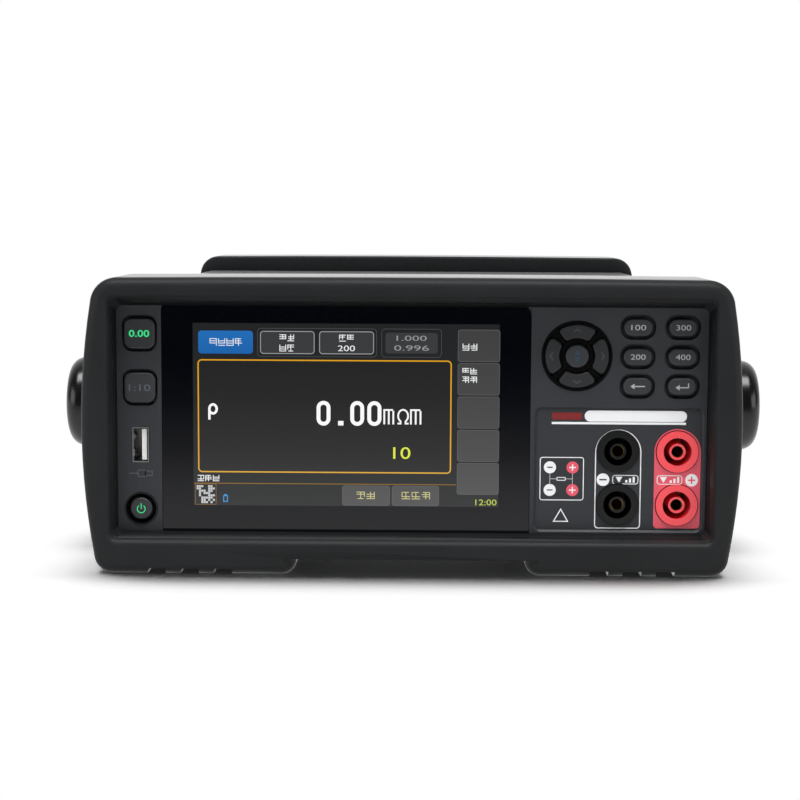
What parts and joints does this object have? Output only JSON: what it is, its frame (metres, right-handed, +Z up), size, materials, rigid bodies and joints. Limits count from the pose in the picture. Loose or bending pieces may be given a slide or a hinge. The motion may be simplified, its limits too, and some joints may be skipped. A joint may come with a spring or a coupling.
{
  "type": "sheet resistance tester",
  "caption": "Bench sheet resistance tester: metal case between two moulded bumpers, wide screen, keys, four safety sockets and a folding carrying handle.",
  "frame": {"origin": "on the floor below the middle of the whole instrument", "axes": "+X to the right as one faces the screen, +Y to the back, +Z up"},
  "size_m": [0.264, 0.35, 0.104],
  "materials": {
    "bumper_plastic": "matte moulded, fine texture",
    "case_paint": "fine textured paint",
    "panel_plastic": "satin moulded",
    "black_glass": "black gloss behind clear glass",
    "module_metal": "pressed metal frame",
    "gloss_black": "gloss",
    "plated_steel": "plated",
    "white_plastic": "satin",
    "brass": "turned",
    "connector_black": "satin",
    "board": "solder mask",
    "switch_metal": "stamped",
    "transformer_steel": "varnished",
    "screw_steel": "black",
    "handle_plastic": "semi gloss",
    "grip_rubber": "matte",
    "hub_plastic": "gloss",
    "pivot_steel": "turned",
    "key_rubber": "matte silicone",
    "socket_black": "satin",
    "socket_red": "satin"
  },
  "bodies": {
    "instrument": {"arrow_ring": "gloss_black", "case_cover": "case_paint", "chassis_tray": "case_paint", "contact_black_lower": "brass", "contact_black_upper": "brass", "contact_red_lower": "brass", "contact_red_upper": "brass", "cover_screws": "screw_steel", "display_board": "board", "display_module": "module_metal", "display_window": "black_glass", "earth_terminal": "brass", "front_bumper": "bumper_plastic", "front_panel": "panel_plastic", "handler_connector": "plated_steel", "handler_insert": "connector_black", "inlet_pins": "brass", "key_board_left": "board", "key_board_right": "board", "key_switches": "switch_metal", "main_board": "board", "pivot_left": "pivot_steel", "pivot_right": "pivot_steel", "power_board": "board", "power_inlet": "connector_black", "power_ring": "gloss_black", "rear_bumper": "bumper_plastic", "rear_panel": "case_paint", "rear_screws": "screw_steel", "serial_connector": "plated_steel", "serial_insert": "connector_black", "socket_black_lower": "socket_black", "socket_black_upper": "socket_black", "socket_red_lower": "socket_red", "socket_red_upper": "socket_red", "standoffs": "plated_steel", "terminal_plate": "panel_plastic", "transformer": "transformer_steel", "usb_shell": "plated_steel", "usb_tongue": "white_plastic"},
    "handle": {"handle_frame": "handle_plastic", "handle_grip": "grip_rubber", "hub_cap_left": "hub_plastic", "hub_cap_right": "hub_plastic"},
    "fuse_drawer": {"fuse_drawer": "connector_black"},
    "square_key_upper": {"square_key_upper": "key_rubber"},
    "square_key_lower": {"square_key_lower": "key_rubber"},
    "power_key": {"power_key": "key_rubber"},
    "arrow_key_up": {"arrow_key_up": "key_rubber"},
    "arrow_key_down": {"arrow_key_down": "key_rubber"},
    "arrow_key_left": {"arrow_key_left": "key_rubber"},
    "arrow_key_right": {"arrow_key_right": "key_rubber"},
    "middle_key": {"middle_key": "key_rubber"},
    "oval_key_inner_1": {"oval_key_inner_1": "key_rubber"},
    "oval_key_inner_2": {"oval_key_inner_2": "key_rubber"},
    "oval_key_inner_3": {"oval_key_inner_3": "key_rubber"},
    "oval_key_outer_1": {"oval_key_outer_1": "key_rubber"},
    "oval_key_outer_2": {"oval_key_outer_2": "key_rubber"},
    "oval_key_outer_3": {"oval_key_outer_3": "key_rubber"}
  },
  "joints": [
    {"name": "handle_hinge", "type": "hinge", "parent": "instrument", "child": "handle", "pos_m": [0, -0.106, 0.0535], "axis": [-1, 0, 0], "range_deg": [0, 290]},
    {"name": "fuse_drawer_slide", "type": "slide", "parent": "instrument", "child": "fuse_drawer", "axis": [0, 1, 0], "range_m": [0, 0.016]},
    {"name": "square_key_upper_press", "type": "slide", "parent": "instrument", "child": "square_key_upper", "axis": [0, 1, 0], "range_m": [0, 0.001], "stiffness_N_per_m": 1200, "springref_m": -0.0002},
    {"name": "square_key_lower_press", "type": "slide", "parent": "instrument", "child": "square_key_lower", "axis": [0, 1, 0], "range_m": [0, 0.001], "stiffness_N_per_m": 1200, "springref_m": -0.0002},
    {"name": "power_key_press", "type": "slide", "parent": "instrument", "child": "power_key", "axis": [0, 1, 0], "range_m": [0, 0.001], "stiffness_N_per_m": 1200, "springref_m": -0.0002},
    {"name": "arrow_key_up_press", "type": "slide", "parent": "instrument", "child": "arrow_key_up", "axis": [0, 1, 0], "range_m": [0, 0.001], "stiffness_N_per_m": 1200, "springref_m": -0.0002},
    {"name": "arrow_key_down_press", "type": "slide", "parent": "instrument", "child": "arrow_key_down", "axis": [0, 1, 0], "range_m": [0, 0.001], "stiffness_N_per_m": 1200, "springref_m": -0.0002},
    {"name": "arrow_key_left_press", "type": "slide", "parent": "instrument", "child": "arrow_key_left", "axis": [0, 1, 0], "range_m": [0, 0.001], "stiffness_N_per_m": 1200, "springref_m": -0.0002},
    {"name": "arrow_key_right_press", "type": "slide", "parent": "instrument", "child": "arrow_key_right", "axis": [0, 1, 0], "range_m": [0, 0.001], "stiffness_N_per_m": 1200, "springref_m": -0.0002},
    {"name": "middle_key_press", "type": "slide", "parent": "instrument", "child": "middle_key", "axis": [0, 1, 0], "range_m": [0, 0.001], "stiffness_N_per_m": 1200, "springref_m": -0.0002},
    {"name": "oval_key_inner_1_press", "type": "slide", "parent": "instrument", "child": "oval_key_inner_1", "axis": [0, 1, 0], "range_m": [0, 0.001], "stiffness_N_per_m": 1200, "springref_m": -0.0002},
    {"name": "oval_key_inner_2_press", "type": "slide", "parent": "instrument", "child": "oval_key_inner_2", "axis": [0, 1, 0], "range_m": [0, 0.001], "stiffness_N_per_m": 1200, "springref_m": -0.0002},
    {"name": "oval_key_inner_3_press", "type": "slide", "parent": "instrument", "child": "oval_key_inner_3", "axis": [0, 1, 0], "range_m": [0, 0.001], "stiffness_N_per_m": 1200, "springref_m": -0.0002},
    {"name": "oval_key_outer_1_press", "type": "slide", "parent": "instrument", "child": "oval_key_outer_1", "axis": [0, 1, 0], "range_m": [0, 0.001], "stiffness_N_per_m": 1200, "springref_m": -0.0002},
    {"name": "oval_key_outer_2_press", "type": "slide", "parent": "instrument", "child": "oval_key_outer_2", "axis": [0, 1, 0], "range_m": [0, 0.001], "stiffness_N_per_m": 1200, "springref_m": -0.0002},
    {"name": "oval_key_outer_3_press", "type": "slide", "parent": "instrument", "child": "oval_key_outer_3", "axis": [0, 1, 0], "range_m": [0, 0.001], "stiffness_N_per_m": 1200, "springref_m": -0.0002}
  ]
}
